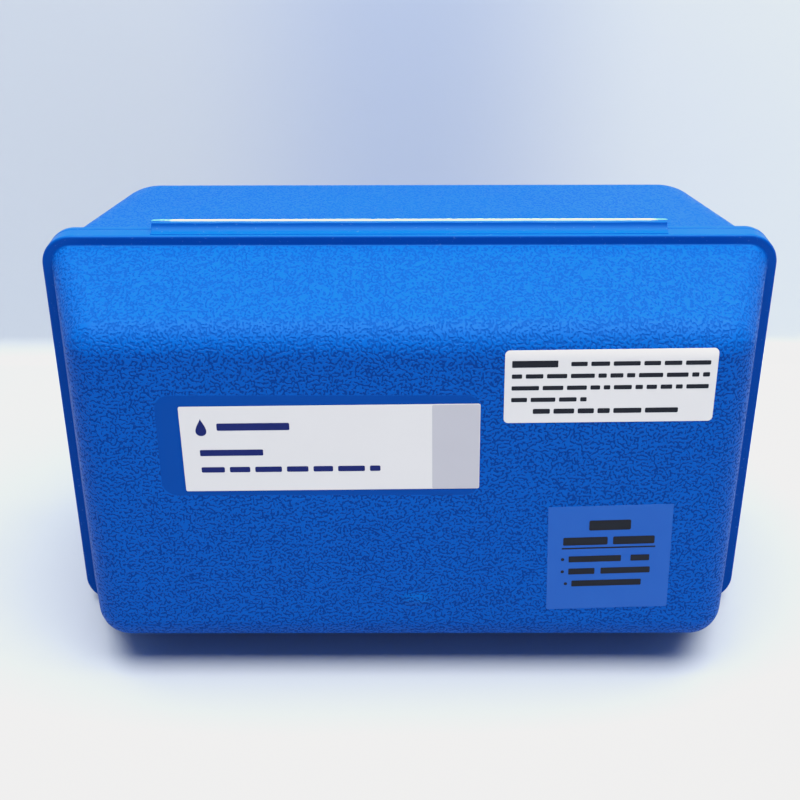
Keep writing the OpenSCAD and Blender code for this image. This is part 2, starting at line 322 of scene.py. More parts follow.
class Nodes:
    """A short way to write a node tree."""

    def __init__(self, name):
        self.material = bpy.data.materials.new(name)
        self.material.use_nodes = True
        self.tree = self.material.node_tree
        self.shader = self.tree.nodes["Principled BSDF"]

    def add(self, kind, inputs=None, **settings):
        node = self.tree.nodes.new(kind)
        for key, value in settings.items():
            setattr(node, key, value)
        for key, value in (inputs or {}).items():
            self.feed(node.inputs[key], value)
        return node

    def feed(self, socket, value):
        if isinstance(value, bpy.types.NodeSocket):
            self.tree.links.new(value, socket)
        else:
            socket.default_value = value

    def maths(self, operation, a, b=0.0, c=0.0):
        node = self.add("ShaderNodeMath", operation=operation)
        for socket, value in zip(node.inputs, (a, b, c)):
            self.feed(socket, value)
        return node.outputs[0]

    def times(self, a, b):
        return self.maths("MULTIPLY", a, b)

    def minus(self, a, b):
        return self.maths("SUBTRACT", a, b)

    def size(self, a):
        return self.maths("ABSOLUTE", a)

    def ramp(self, value, low, high, out_low=0.0, out_high=1.0):
        node = self.add("ShaderNodeMapRange", interpolation_type="SMOOTHSTEP")
        for key, v in zip(("Value", "From Min", "From Max", "To Min", "To Max"),
                          (value, low, high, out_low, out_high)):
            self.feed(node.inputs[key], v)
        return node.outputs[0]

    def mix(self, share, a, b):
        node = self.add("ShaderNodeMix", data_type="RGBA")
        self.feed(node.inputs[0], share)
        self.feed(node.inputs[6], a)
        self.feed(node.inputs[7], b)
        return node.outputs[2]

    def place(self):
        return self.add("ShaderNodeTexCoord").outputs["Object"]

    def axes(self):
        return self.add("ShaderNodeSeparateXYZ", {0: self.place()}).outputs

    def facing_up(self):
        """1 where the surface faces up, 0 where it is upright, -1 where it faces down."""
        normal = self.add("ShaderNodeTexCoord").outputs["Normal"]
        return self.add("ShaderNodeSeparateXYZ", {0: normal}).outputs[2]

    def noise(self, vector, scale, detail=2.0):
        inputs = {"Vector": vector, "Scale": scale, "Detail": detail}
        return self.add("ShaderNodeTexNoise", inputs).outputs["Fac"]

    def bump(self, height, distance, strength=1.0, normal=None):
        inputs = {"Height": height, "Distance": distance, "Strength": strength}
        if normal is not None:
            inputs["Normal"] = normal
        return self.add("ShaderNodeBump", inputs).outputs[0]

    def pitted(self, scale, depth, strength=0.4, detail=2.0, normal=None):
        """A finely uneven surface, its depth in millimetres."""
        return self.bump(self.noise(self.place(), scale, detail), depth * MM, strength, normal)

    def shades(self, share, colour, factor):
        """From a colour to a lighter or darker shade of it."""
        return self.mix(share, opaque(colour), opaque([c * factor for c in colour]))

    def set(self, **values):
        for key, value in values.items():
            self.feed(self.shader.inputs[key.replace("_", " ")], value)


def opaque(colour):
    return tuple(colour[:3]) + (1.0,)


BLUE = (0.0006, 0.074, 0.360)
BLUE_LIGHT = (0.0008, 0.082, 0.386)
# painted highlight: a lighter blue for the smooth plastic where it faces up towards the overhead light
LIT_TOP_BLUE = (0.0006, 0.082, 0.345)      # the rims, where they face up
RIM_BLUE = (0.0005, 0.045, 0.245)
# painted shade: the dark blue painted into the grain's grooves, as shade in a recess
GROOVE_SHADE_BLUE = (0.0005, 0.036, 0.195)
GATE_BLUE = (0.0008, 0.12, 0.46)
SPECK_BLUE = (0.25, 0.42, 0.75)
GRAIN = 1.12 * MM                      # spacing of the grooves
GRAIN_DEPTH = 0.30 * MM
GRAIN_SQUEEZE = (1.0, 0.68, 0.8)       # the grain is longer down the slope and down the front
WINDING = 1.2                          # how many spacings a ridge runs before it turns
GROOVE_SHADE = 0.95                    # how dark the grooves are where the surface is upright
PAD = (-29.4, 19.6, 104.5, 37.0, 5.0)  # smooth pad under the main label: x, z, width, height, corner
PAD_SHADE = 0.7                        # how much of the groove colour the smooth pad has
GATE = (2.5, -41.0, 10.0, 4.0, 2.0)    # the shallow bump where the mould was filled, in the same way
GATE_HEIGHT = 0.8 * MM


def patch(n, x, z, where, soft):
    """1 inside a rounded rectangle on the lid's front, 0 outside; z from the middle of the case."""
    middle_x, middle_z, w, h, r = (a * MM for a in where)
    dx = n.minus(n.size(n.minus(x, middle_x)), w / 2 - r)
    dz = n.minus(n.size(n.minus(z, MID_Z * MM + middle_z)), h / 2 - r)
    squares = [n.maths("POWER", n.maths("MAXIMUM", d, 0.0), 2.0) for d in (dx, dz)]
    outside = n.maths("SQRT", n.maths("ADD", *squares))
    return n.ramp(outside, r - soft, r + soft, 1.0, 0.0)


def maze(n, place):
    """A maze of short winding ridges of even height, from -1 in the grooves to 1 on the ridges."""
    longer = n.add("ShaderNodeMapping", {"Vector": place, "Scale": GRAIN_SQUEEZE}).outputs[0]
    inputs = {"Vector": longer, "Scale": 1 / (WINDING * GRAIN), "Frequency": WINDING, "Anisotropy": 0.0}
    phase = n.add("ShaderNodeTexGabor", inputs, gabor_type="3D").outputs["Phase"]
    return n.maths("SINE", n.times(phase, 2 * math.pi))


def mould_waves(n):
    """The long, faint waves of a moulded wall, as a normal."""
    return n.pitted(60.0, 0.25, 0.5)


def smooth_blue_plastic():
    """Blue moulded plastic as it comes off a polished mould: the rims, the hinge and the insides."""
    n = Nodes("case_smooth")
    place = n.place()
    cloudy = n.noise(place, 35.0, 3.0)
    speck = n.times(n.ramp(n.noise(place, 900.0), 0.66, 0.72), 0.08)
    colour = n.shades(cloudy, RIM_BLUE, 1.1)
    # painted highlight: the smooth blue is made lighter where it faces up, as if lit from above
    colour = n.mix(n.ramp(n.facing_up(), 0.4, 0.95), colour, opaque(LIT_TOP_BLUE))
    n.set(Base_Color=n.mix(speck, colour, opaque(SPECK_BLUE)), Specular_IOR_Level=0.035,
          Roughness=n.ramp(cloudy, 0.2, 0.8, 0.3, 0.4),
          Normal=n.pitted(2500.0, 0.02, 0.3, normal=mould_waves(n)))
    return n.material


def grained_blue_plastic(name, shade_on_top, sheen, pad=False):
    """Blue moulded plastic with a leather grain: winding grooves, darkened by painted shade.

    The painted shade is lighter where the grooves face up, towards the light.
    """
    n = Nodes(name)
    place = n.place()
    cloudy = n.noise(place, 35.0, 3.0)
    colour = n.mix(cloudy, opaque(BLUE), opaque(BLUE_LIGHT))
    waves = mould_waves(n)
    groove = n.ramp(maze(n, place), -0.9, 0.25, 1.0, 0.0)
    if pad:
        x, y, z = n.axes()
        face = PART_Y - LID_DEPTH
        front = n.ramp(y, (face + 0.1) * MM, (face + 0.6) * MM, 1.0, 0.0)
        smooth = n.times(patch(n, x, z, PAD, 0.25 * MM), front)
        groove = n.times(groove, n.minus(1.0, smooth))
        colour = n.mix(n.times(smooth, PAD_SHADE), colour, opaque(GROOVE_SHADE_BLUE))
        gate = n.times(patch(n, x, z, GATE, 1.2 * MM), front)
        waves = n.bump(gate, GATE_HEIGHT, 1.0, waves)
        colour = n.mix(n.times(gate, 0.5), colour, opaque(GATE_BLUE))
    ridges = n.bump(n.minus(1.0, groove), GRAIN_DEPTH, 0.8, waves)
    # painted shade: the grooves are darkened, less where they face up and the light falls on them
    shade = n.times(groove, n.ramp(n.facing_up(), 0.02, 0.5, GROOVE_SHADE, shade_on_top))
    n.set(Base_Color=n.mix(shade, colour, opaque(GROOVE_SHADE_BLUE)), Specular_IOR_Level=sheen,
          Roughness=n.ramp(groove, 0.0, 1.0, 0.48, 0.65),
          Normal=n.pitted(3000.0, 0.02, 0.35, normal=ridges))
    return n.material


def plain(name, colour, roughness, bump_scale=1500.0, bump_depth=0.02, variation=0.05, **extra):
    """A moulded or printed surface with slight variation in colour and a fine bump."""
    n = Nodes(name)
    cloudy = n.noise(n.place(), 60.0, 3.0)
    n.set(Base_Color=n.shades(cloudy, colour, 1 - 2 * variation),
          Roughness=n.ramp(cloudy, 0.25, 0.75, roughness * 0.9, roughness * 1.1),
          Normal=n.pitted(bump_scale, bump_depth), **extra)
    return n.material


def whitened():
    """The fold of the hinge: plastic turned white by bending, with bluer patches near its ends, and a
    faint painted glow where it is white.
    """
    n = Nodes("hinge_whitening")
    patchy = n.noise(n.place(), 420.0, 3.0)
    ends = n.ramp(n.size(n.axes()[0]), 74 * MM, 88 * MM, 0.0, 0.5)
    share = n.ramp(n.maths("ADD", patchy, ends), 0.62, 0.92)
    # painted glow: a faint emission where the fold is white
    n.set(Base_Color=n.mix(share, (0.72, 0.93, 1.0, 1), (0.10, 0.38, 0.80, 1)), Roughness=0.5,
          Normal=n.bump(patchy, 0.15 * MM, 0.6), Emission_Color=(0.7, 0.9, 1.0, 1),
          Emission_Strength=n.times(n.minus(1.0, share), 0.12))
    return n.material


def clear_film():
    """Translucent film: mostly lets the plastic behind show, with a pale bluish veil."""
    n = Nodes("clear_film")
    veil = n.mix(n.noise(n.place(), 90.0, 3.0), (0.0, 0.092, 0.44, 1), (0.002, 0.105, 0.47, 1))
    n.set(Base_Color=veil, Roughness=0.42, Alpha=0.7, Specular_IOR_Level=0.35,
          Normal=n.pitted(700.0, 0.02, detail=3.0))
    return n.material


def clear_plastic(name, tint, alpha, roughness):
    """Clear moulded plastic, with faint flow marks, and denser where it is seen edge on."""
    n = Nodes(name)
    edge = n.add("ShaderNodeLayerWeight", {"Blend": 0.35}).outputs["Facing"]
    flow = n.ramp(n.noise(n.place(), 80.0, 3.0), 0.3, 0.7, roughness * 0.7, roughness * 1.4)
    n.set(Base_Color=opaque(tint), Roughness=flow, Specular_IOR_Level=0.6,
          Alpha=n.ramp(edge, 0.0, 1.0, alpha, alpha + 0.55), Normal=n.pitted(180.0, 0.03, 0.3))
    return n.material


def squeezy_plastic():
    """Natural polyethylene of the bottles: milky, soft, slightly see-through."""
    n = Nodes("bottle_natural")
    cloudy = n.noise(n.place(), 120.0, 3.0)
    n.set(Base_Color=n.mix(cloudy, (0.84, 0.84, 0.80, 1), (0.76, 0.77, 0.73, 1)), Roughness=0.38,
          Alpha=n.ramp(cloudy, 0.3, 0.7, 0.62, 0.70), Subsurface_Weight=0.2, Subsurface_Scale=0.002,
          Normal=n.pitted(350.0, 0.04, detail=3.0))
    return n.material


def liquid(name, colour):
    """A reagent seen through the bottle's wall."""
    n = Nodes(name)
    n.set(Base_Color=n.shades(n.noise(n.place(), 50.0), colour, 0.85), Roughness=0.05,
          Specular_IOR_Level=0.4)
    return n.material


def graded_chips(name, pale, deep, node):
    """Five tinted chips, one step deeper from each to the next along Y."""
    low, high = span(node)
    n = Nodes(name)
    start, length = (low[1] + PART_Y - 1) * MM, (high[1] - low[1] + 2) * MM
    along = n.maths("DIVIDE", n.minus(n.axes()[1], start), length)
    step = n.maths("DIVIDE", n.maths("FLOOR", n.times(along, 5.0)), 4.0)
    n.set(Base_Color=n.mix(step, opaque(pale), opaque(deep)), Roughness=0.15,
          Specular_IOR_Level=0.6, Normal=n.pitted(200.0, 0.02, 0.3))
    return n.material


def paper_edges():
    """Stacked sheets seen edge on."""
    n = Nodes("paper_edges")
    layered = {"Vector": n.place(), "Scale": (40.0, 9000.0, 40.0)}
    sheet = n.noise(n.add("ShaderNodeMapping", layered).outputs[0], 1.0)
    n.set(Base_Color=n.mix(sheet, (0.84, 0.83, 0.79, 1), (0.55, 0.54, 0.51, 1)), Roughness=0.8,
          Normal=n.bump(sheet, 0.05 * MM, 0.5))
    return n.material


def booklet_cover_paper():
    """Coated card, pale at one edge and deeper towards the other, like water."""
    n = Nodes("booklet_cover")
    fade = n.ramp(n.axes()[2], (MID_Z - 46) * MM, (MID_Z + 40) * MM)
    fibre = n.noise(n.place(), 900.0, 3.0)
    n.set(Base_Color=n.mix(fade, (0.62, 0.80, 0.90, 1), (0.10, 0.36, 0.66, 1)),
          Roughness=n.ramp(fibre, 0.3, 0.7, 0.32, 0.42), Normal=n.bump(fibre, 0.02 * MM, 0.4))
    return n.material


INK = {"variation": 0.1, "Specular_IOR_Level": 0.12}

grained_blue = grained_blue_plastic("case_grain", 0.06, 0.08)
lid_front_blue = grained_blue_plastic("lid_grain", 0.55, 0.05, pad=True)
smooth_blue = smooth_blue_plastic()
label_white = plain("label_white", (0.73, 0.68, 0.605), 0.42, variation=0.015)
whitened_blue = whitened()
film = clear_film()
ink_black = plain("ink_black", (0.010, 0.011, 0.014), 0.5, **INK)
ink_navy = plain("ink_navy", (0.006, 0.012, 0.10), 0.5, **INK)
ink_grey = plain("ink_grey", (0.475, 0.445, 0.44), 0.45, variation=0.03)
ink_white = plain("ink_white", (0.86, 0.90, 0.93), 0.4, variation=0.02)
ink_water = plain("ink_water", (0.03, 0.22, 0.52), 0.38, variation=0.08)
cover_paper = booklet_cover_paper()
page_paper = paper_edges()
tray_white = plain("tray_white", (0.80, 0.81, 0.82), 0.4, 700.0, 0.03, 0.02)
acrylic = clear_plastic("clear_acrylic", (0.86, 0.92, 0.96), 0.30, 0.08)
cell_clear = clear_plastic("cell_clear", (0.90, 0.95, 0.97), 0.22, 0.05)
opal = plain("opal_white", (0.90, 0.91, 0.92), 0.25, variation=0.01, Subsurface_Weight=0.2,
             Subsurface_Scale=0.002)
stopper_white = plain("stopper_white", (0.86, 0.86, 0.83), 0.45, variation=0.02)
natural = squeezy_plastic()
tip_natural = plain("tip_natural", (0.88, 0.88, 0.85), 0.35, variation=0.02, Subsurface_Weight=0.3,
                    Subsurface_Scale=0.001)
yellow_chips = graded_chips("yellow_tint", (0.93, 0.90, 0.62), (0.80, 0.50, 0.02), "yellow_standards")
red_chips = graded_chips("red_tint", (0.95, 0.62, 0.30), (0.66, 0.03, 0.10), "red_standards")
CAPS = (("yellow", (0.90, 0.62, 0.03)), ("red", (0.66, 0.03, 0.03)), ("blue", (0.02, 0.13, 0.55)),
        ("green", (0.03, 0.33, 0.10)), ("grey", (0.30, 0.31, 0.33)))
REAGENTS = ((0.85, 0.80, 0.42), (0.78, 0.16, 0.10), (0.62, 0.72, 0.80), (0.45, 0.70, 0.50),
            (0.75, 0.76, 0.76))

# ---- the case ----

ARC = 24 if FINE else 12
SIDE = 24 if FINE else 8
STEPS = 8 if FINE else 4
CLIP_X = 45.0          # the booklet clips' distance from the middle
CLIP_W, CLIP_T = 12.0, 1.6
CLIP_REACH = 3.7       # how far they reach over the booklet
CLIP_GAP = 0.3


def draft_inset(y, rim_t, draft):
    """Inset of the outer wall at depth y, counted away from the parting plane."""
    return FLANGE + (y - rim_t) * math.tan(draft)


def lid_path(draft):
    """The lid's section from the middle of its inside to the middle of its front, as (inset, y)."""
    sharp = draft_inset(LID_DEPTH, LID_RIM_T, draft)
    inner_sharp = draft_inset(LID_DEPTH - WALL, LID_RIM_T, draft) + WALL / math.cos(draft)
    corners = [
        (FACE_INSET, LID_DEPTH - WALL), (inner_sharp, LID_DEPTH - WALL, LID_ROUND - WALL),
        (MOUTH, LID_RIM_T, 1.0), (MOUTH, PARTING_GAP, 0.3), (0, PARTING_GAP, 0.65),
        (0, LID_RIM_T, 0.9), (FLANGE, LID_RIM_T, 0.7), (sharp, LID_DEPTH, LID_ROUND),
        (FACE_INSET, LID_DEPTH),
    ]
    return [(inset, -y) for inset, y in rounded_path(corners, STEPS)]


def lid_centre(draft):
    """Inset of the corner's centre line at a depth."""
    inset = draft_inset(LID_DEPTH - LID_ROUND, LID_RIM_T, draft) + LID_ROUND / math.cos(draft)
    turn_y = LID_DEPTH - LID_ROUND * (1 - math.sin(draft))
    return lambda y: between(-y, LID_RIM_T, RIM_R, turn_y, inset)


def build_clips():
    """Four small angle clips inside the lid that hold the booklet by its edges."""
    low, high = span("booklet_cover")
    inner, lip = -LID_DEPTH + WALL - 0.4, high[1] + CLIP_GAP
    verts, faces = [], []
    for x in (-CLIP_X, CLIP_X):
        for side, edge in ((1, high[2]), (-1, low[2])):
            back, front = edge + side * CLIP_GAP, edge + side * (CLIP_GAP + CLIP_T)
            tip = edge - side * CLIP_REACH
            outer = lip + CLIP_T
            outline = [(inner, back), (inner, front), (outer, front), (outer, tip), (lip, tip),
                       (lip, back)]
            new_verts, new_faces = prism_x(outline, x - CLIP_W / 2, x + CLIP_W / 2, 1)
            faces += [tuple(i + len(verts) for i in face) for face in new_faces]
            verts += new_verts
    clips = make("booklet_clips_moulding", verts, faces, "lid", [smooth_blue])
    soften(clips, 0.25)


def build_shell(name, rings, corners_before, grain, body):
    """A case half as one closed skin, smooth up to a corner of its section and then grained."""
    verts, faces = loft(rings)
    grained_from = corners_before * (STEPS + 1) - 1
    face_mats = [0]
    for k in range(len(rings) - 1):
        face_mats += [1 if k >= grained_from else 0] * len(rings[0])
    piece = make(name + "_moulding", verts, faces, body, [smooth_blue, grain], face_mats + [1])
    stands_for(name, "case_blue")
    return piece


def build_lid():
    """The lid's shell."""
    rings = shell_rings(lid_path(LID_SIDE_DRAFT), lid_path(LID_TOP_DRAFT), lid_path(LID_FOOT_DRAFT),
                        lid_centre(LID_SIDE_DRAFT), lid_centre(LID_TOP_DRAFT), ARC, SIDE)
    return build_shell("lid_shell", rings, 6, lid_front_blue, "lid")


def base_path(draft):
    """The base's section from the middle of its inside to the middle of its back, as (inset, y)."""
    sharp = draft_inset(BASE_DEPTH, BASE_RIM_T, draft)
    inner_sharp = draft_inset(BASE_DEPTH - WALL, BASE_RIM_T, draft) + WALL
    ledge = MOUTH + LIP_GAP
    return rounded_path([
        (FACE_INSET, BASE_DEPTH - WALL), (inner_sharp, BASE_DEPTH - WALL, BASE_ROUND - WALL),
        (MOUTH, BASE_RIM_T + 1.2, 0.5), (ledge + LIP_T, BASE_RIM_T - 0.3, 0.5),
        (ledge + LIP_T, -LIP_H, 0.3), (ledge, -LIP_H, 0.3), (ledge, 0, 0.15), (0, 0, 0.65),
        (0, BASE_RIM_T, 0.7), (FLANGE, BASE_RIM_T, 0.7), (sharp, BASE_DEPTH, BASE_ROUND),
        (FACE_INSET, BASE_DEPTH),
    ], STEPS)


def base_centre(draft):
    """Inset of the corner's centre line at a depth."""
    end = FLANGE + (BASE_DEPTH - BASE_RIM_T) * math.tan(draft) + BASE_CORNER
    return lambda y: between(y, BASE_RIM_T, RIM_R, BASE_DEPTH - BASE_ROUND, end)


def build_base():
    """The base's shell."""
    side, top = base_path(BASE_SIDE_DRAFT), base_path(BASE_TOP_DRAFT)
    rings = shell_rings(side, top, top, base_centre(BASE_SIDE_DRAFT), base_centre(BASE_TOP_DRAFT),
                        ARC, SIDE)
    return build_shell("base_shell", rings, 9, grained_blue, "base")


LATCH_ROOM = 0.3
latch_low, latch_high = span("right_latch_tab")
LATCH_X = (latch_low[0] + latch_high[0]) / 2
LATCH_HALF = (latch_high[0] - latch_low[0]) / 2
LATCH_T = 1.4


def cut_latch_rooms(lid, base):
    """The notches in both rims that the latch tabs lie in."""
    half = LATCH_HALF + LATCH_ROOM
    lid_top = LATCH_T + 0.1
    base_back, base_top = BASE_RIM_T + 0.25, latch_high[2] + 0.1
    middles = (-LATCH_X, LATCH_X)
    cut_boxes(lid, [((x - half, latch_low[1], -1), (x + half, 1, lid_top)) for x in middles])
    cut_boxes(base, [((x - half, -1, -1), (x + half, base_back, base_top)) for x in middles])


FOLD_Z = span("hinge_crease")[0][2] + 0.5
HINGE_HALF = span("hinge_crease")[1][0]
LEAF_FOOT = 0.2        # how far the hollow's lowest line is above the rim
LEAF_SUNK = 0.4        # how deep each leaf is rooted in its rim


def leaf_outline(side, near, far, hollow_r):
    """Section of a hinge leaf, hollowed on top from its far edge up to the fold."""
    foot = CASE_H - LEAF_SUNK
    outline = [(near, foot), (far, foot)]
    middle_z, top_z = CASE_H + LEAF_FOOT + hollow_r, FOLD_Z - 0.12
    end = math.acos((middle_z - top_z) / hollow_r)
    for k in range(9):
        a = end * k / 8
        outline.append((far - hollow_r * math.sin(a), middle_z - hollow_r * math.cos(a)))
    outline += [(near + 0.35, top_z), (near, top_z - 0.3)]
    return [(side * y, z) for y, z in outline]


def waver(pitch, seed):
    """A slow, small waver along X."""
    return lambda x: noise.noise(Vector((x * pitch, seed, 0.0)))


def build_leaf(body, outline, seed):
    """One leaf of the living hinge, whose top edge wavers a little."""
    slow = waver(0.11, seed)
    node = body + "_hinge_leaf"
    verts, faces = prism_x(outline, -HINGE_HALF, HINGE_HALF, 80, lambda x: 0.1 * slow(x))
    leaf = make(node + "_moulding", verts, faces, body, [smooth_blue])
    stands_for(node, "case_blue")
    soften(leaf, 0.18)


def build_hinge():
    """The two leaves and the whitened web on top of them."""
    build_leaf("lid", leaf_outline(-1, 0.14, 5.6, 3.9), 7.3)
    build_leaf("base", leaf_outline(1, 0.04, 2.7, 1.6), 14.6)
    spokes, steps, reach = 12, 220, HINGE_HALF + 0.4
    rise, thickness = waver(0.35, 3.1), waver(1.3, 9.7)
    rows = []
    for k in range(steps + 1):
        x = -reach + 2 * reach * k / steps
        taper = min(1.0, (reach - abs(x)) / 1.2 + 0.25)
        r = (0.44 + 0.10 * thickness(x)) * taper
        middle_z = FOLD_Z + 0.06 * rise(x)
        angles = [2 * math.pi * i / spokes for i in range(spokes)]
        rows.append([put(x, r * 0.85 * math.cos(a), middle_z + r * math.sin(a)) for a in angles])
    verts, faces = loft(rows)
    crease = make("hinge_crease_web", verts, faces, "base", [whitened_blue])
    stands_for("hinge_crease", "whitened_plastic")


lid = build_lid()
base = build_base()
cut_latch_rooms(lid, base)
weigh_normals(lid)
weigh_normals(base)
build_clips()
build_hinge()
for latch in ("left_latch", "right_latch"):
    rounded_copy(latch + "_tab", latch + "_moulding", latch, [smooth_blue], 0.25, "case_blue")

# ---- labels on the lid ----

PRINT_T = 0.02
STICKER_GAP = 0.02     # between the lid's face and a label
STICKER_T = 0.13
FILM_T = 0.10


def label_frame(node, turn_deg):
    """A function from label coordinates (mm from its middle) to the frame, on the lid's front."""
    low, high = span(node)
    middle_x, middle_z = (low[0] + high[0]) / 2, (low[2] + high[2]) / 2
    turn = math.radians(turn_deg)

    def to_frame(u, v, lift):
        x = middle_x + u * math.cos(turn) - v * math.sin(turn)
        z = middle_z + u * math.sin(turn) + v * math.cos(turn)
        return put(x, -LID_DEPTH - lift, z)

    return to_frame


def outline_rect(u0, u1, v0, v1, r, steps=5):
    """Outline of a rounded rectangle in label coordinates."""
    points = []
    corners = ((u1 - r, v1 - r, 0), (u0 + r, v1 - r, 90), (u0 + r, v0 + r, 180), (u1 - r, v0 + r, 270))
    for cu, cv, start in corners:
        for k in range(steps + 1):
            a = math.radians(start + 90 * k / steps)
            points.append((cu + r * math.cos(a), cv + r * math.sin(a)))
    return points


def outline_drop(u, v, r):
    """Outline of a drop with its point up."""
    angles = [2 * math.pi * k / 32 for k in range(32)]
    return [(u + 1.1 * r * math.sin(a) * math.sin(a / 2) ** 1.6, v + 1.35 * r * math.cos(a))
            for a in angles]


def slabs(name, outlines, to_frame, lift, thick, body, mats, bevel=0.0):
    """Thin flat shapes on a label's plane, all in one piece, with an optional bevel on top."""
    verts, faces = [], []
    layers = [(0.0, lift), (0.0, lift + thick - bevel)]
    if bevel:
        layers.append((bevel, lift + thick))
    for outline in outlines:
        start, n = len(verts), len(outline)
        middle_u = sum(u for u, _ in outline) / n
        middle_v = sum(v for _, v in outline) / n
        for shrink, height in layers:
            for u, v in outline:
                reach = max(math.hypot(u - middle_u, v - middle_v), 0.01)
                share = 1 - shrink / reach
                verts.append(to_frame(middle_u + (u - middle_u) * share,
                                      middle_v + (v - middle_v) * share, height))
        rows = [list(range(start + k * n, start + (k + 1) * n)) for k in range(len(layers))]
        faces.append(tuple(rows[0]))
        for below, above in zip(rows, rows[1:]):
            for i in range(n):
                j = (i + 1) % n
                faces.append((below[i], below[j], above[j], above[i]))
        faces.append(tuple(rows[-1]))
    return make(name, verts, faces, body, mats, smooth=False)


def sticker(node, name, outline, to_frame, thick, mat, bevel, slot):
    """A label's sheet."""
    sheet = slabs(name, [outline], to_frame, STICKER_GAP, thick, "lid", [mat], bevel)
    stands_for(node, slot)
    return sheet


def label_print(name, shapes, to_frame, sheet_t, ink):
    """Print on top of a label's sheet."""
    print_layer = slabs(name, shapes, to_frame, STICKER_GAP + sheet_t, PRINT_T, "lid", [ink])
    return print_layer


def word_bars(rng, u0, u1, v, height, word_lengths=(2.0, 9.0), gap=1.1, bulk=0.62):
    """A line of print as plain bars, one for each word, from u0 to u1 along the line at v."""
    bars = []
    u = u0
    while u < u1 - 1.0:
        w = min(rng.uniform(*word_lengths), u1 - u)
        if u1 - (u + w + gap) < 1.5:
            w = u1 - u
        h = height * bulk
        bars.append(outline_rect(u, u + w, v - h / 2, v + h / 2, min(h, w) * 0.22, 3))
        u += w + gap
    return bars


def bend_over_round(piece):
    """Wraps the part of a label that reaches past the lid's flat front round its top edge."""
    slope = math.pi / 2 + LID_TOP_DRAFT
    sharp_edge = CASE_H - draft_inset(LID_DEPTH, LID_RIM_T, LID_TOP_DRAFT)
    flat_end = sharp_edge - LID_ROUND / math.tan(slope / 2)
    bm = bmesh.new()
    bm.from_mesh(piece.data)
    for k in range(7):
        bmesh.ops.bisect_plane(bm, geom=bm.verts[:] + bm.edges[:] + bm.faces[:],
                               plane_co=put(0, 0, flat_end + 0.6 * k), plane_no=(0, 0, 1))
    for v in bm.verts:
        past = v.co.z / MM - flat_end
        if past > 0:
            lift = -LID_DEPTH - (v.co.y / MM - PART_Y)
            a = past / LID_ROUND
            reach = LID_ROUND + lift
            v.co = put(v.co.x / MM, LID_ROUND - LID_DEPTH - reach * math.cos(a),
                       flat_end + reach * math.sin(a))
    bm.to_mesh(piece.data)
    bm.free()


def build_main_label():
    """White label with a grey band at its right and, in place of print, a drop and plain bars."""
    to_frame = label_frame("main_label", 0.61)
    u, v = 96.6 / 2, 31.3 / 2
    band_u, edge = u - 15.4, 0.15
    sticker("main_label", "main_label_sheet", outline_rect(-u, u, -v, v, 0.6), to_frame, STICKER_T,
            label_white, 0.03, "white_label")
    label_print("main_label_band", [outline_rect(band_u, u - edge, edge - v, v - edge, 0.5)], to_frame,
                STICKER_T, ink_grey)
    bars = [outline_drop(-41.6, 8.2, 2.35), outline_rect(-36.5, -13.0, 6.9, 9.6, 0.5),
            outline_rect(-42.6, -22.0, -2.4, -0.1, 0.4)]
    bars += word_bars(random.Random(4), -42.6, 16.0, -7.6, 2.6, (6.0, 13.0), 1.6, 0.8)
    label_print("main_label_print", bars, to_frame, STICKER_T, ink_navy)


def build_notice_label():
    """Rounded white label with five lines of plain bars; its top edge follows the lid's rounding."""
    to_frame = label_frame("notice_label", 0.67)
    u, v = 66.7 / 2, 25.4 / 2
    sheet = sticker("notice_label", "notice_label_sheet", outline_rect(-u, u, -v, v, 1.5, 8), to_frame,
                    STICKER_T, label_white, 0.03, "white_label")
    rng = random.Random(11)
    top_line, pitch, letter = 8.0, 4.15, 2.5
    edge = u - 2.2
    bars = [outline_rect(-edge, -edge + 14.5, 6.9, 9.3, 0.3)]
    bars += word_bars(rng, -edge + 18.5, edge, top_line, letter)
    for line, end in enumerate((edge, edge, -edge + 24), 1):
        bars += word_bars(rng, -edge, end, top_line - pitch * line, letter)
    bars += word_bars(rng, -edge + 7, edge - 9, top_line - pitch * 4, 2.6, bulk=0.7)
    ink = label_print("notice_label_print", bars, to_frame, STICKER_T, ink_black)
    bend_over_round(sheet)
    bend_over_round(ink)


def build_clear_label():
    """Bluish translucent film with centred black bars and one rule."""
    to_frame = label_frame("clear_label", 1.9)
    half = 20.8
    sticker("clear_label", "clear_label_film", outline_rect(-half, half, -half, half, 0.5), to_frame,
            FILM_T, film, 0.02, "clear_film")
    bars = [outline_rect(-7.0, 7.0, 11.2, 15.2, 0.6), outline_rect(-15.6, -0.6, 5.4, 8.6, 0.5),
            outline_rect(1.2, 15.2, 5.4, 8.6, 0.5), outline_rect(-16.0, 15.6, 3.9, 4.5, 0.1)]
    lines = ((-0.2, (-13.6, 4.2, 7.4, 13.8)), (-5.2, (-13.6, -4.6, -2.6, 14.2)), (-10.2, (-12.4, 11.4)))
    for v, words in lines:
        for u0, u1 in zip(words[::2], words[1::2]):
            bars.append(outline_rect(u0, u1, v - 1.25, v + 1.25, 0.35))
        dot = words[0] - 2.0
        bars.append(outline_rect(dot - 0.6, dot + 0.6, v - 0.6, v + 0.6, 0.55))
    label_print("clear_label_print", bars, to_frame, FILM_T, ink_black)


build_main_label()
build_notice_label()
build_clear_label()

# ---- what is inside: tray, booklet, comparator, bottles ----

ITEM_Y = span("bottle_1")[1][1]      # where bottles and comparator stand
BOTTLE_Z = (span("bottle_1")[0][2] + span("bottle_1")[1][2]) / 2
TURNS = 64 if FINE else 40
RIBBED_TURNS = 180
NECK_R, NECK_BORE, NECK_TOP = 6.2, 4.6, 58
CAP_R, CAP_FOOT = 8.2, 50.5
CAP_RIBS_FROM, CAP_RIBS_TO = 52.6, 65.8
LABEL_FROM, LABEL_TO = 8, 37
FILL_TOP = 38


